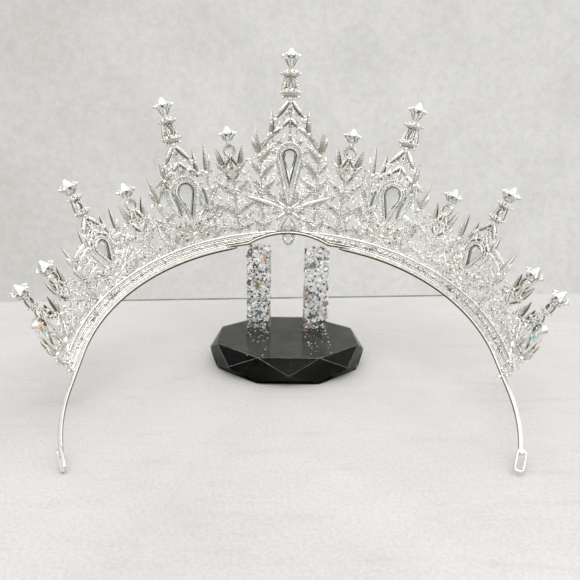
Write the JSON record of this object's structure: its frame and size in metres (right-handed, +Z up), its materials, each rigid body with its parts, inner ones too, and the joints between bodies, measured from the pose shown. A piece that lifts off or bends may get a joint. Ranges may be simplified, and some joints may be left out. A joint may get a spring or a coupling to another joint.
{
  "type": "crystal tiara on a two-post display stand",
  "caption": "Arched silver tiara with tall pierced spires, clear teardrop and round stones and slim wire legs, leaning on two glitter resin posts that rise from a faceted black base.",
  "frame": {"origin": "centre of the stand base's underside, on the table", "axes": "+Z up; +X from leg to leg, towards the right of someone looking at the inside of the tiara; +Y away from that viewer, so that the legs reach the table at -Y"},
  "size_m": [0.1836, 0.1368, 0.1362],
  "materials": {
    "silver": "bright silver plate on a cast alloy",
    "crystal": "cut, clear with a faint rainbow coating",
    "glitter_resin": "clear cast resin filled with silver, black and copper flakes",
    "black_resin": "polished facets"
  },
  "bodies": {
    "root": {"silver_frame": "silver", "drop_centre": "crystal", "drop_side_l": "crystal", "drop_side_r": "crystal", "drop_outer_l": "crystal", "drop_outer_r": "crystal", "pear_end_l": "crystal", "pear_end_r": "crystal", "oval_pendant": "crystal", "wing_inner_l": "crystal", "wing_inner_r": "crystal", "wing_outer_l": "crystal", "wing_outer_r": "crystal", "crystal_1": "crystal", "crystal_2": "crystal", "crystal_3": "crystal", "crystal_4": "crystal", "crystal_5": "crystal", "crystal_6": "crystal", "crystal_7": "crystal", "crystal_8": "crystal", "crystal_9": "crystal", "crystal_10": "crystal", "crystal_11": "crystal", "crystal_12": "crystal", "crystal_13": "crystal", "navette_1": "crystal", "navette_3": "crystal", "navette_5": "crystal", "navette_7": "crystal", "navette_9": "crystal", "navette_11": "crystal", "navette_13": "crystal", "oval_2": "crystal", "oval_4": "crystal", "oval_6": "crystal", "oval_8": "crystal", "oval_10": "crystal", "oval_12": "crystal", "rim_stones": "crystal", "accent_stones": "crystal", "stand_base": "black_resin", "post_left": "glitter_resin", "post_right": "glitter_resin"}
  },
  "joints": []
}
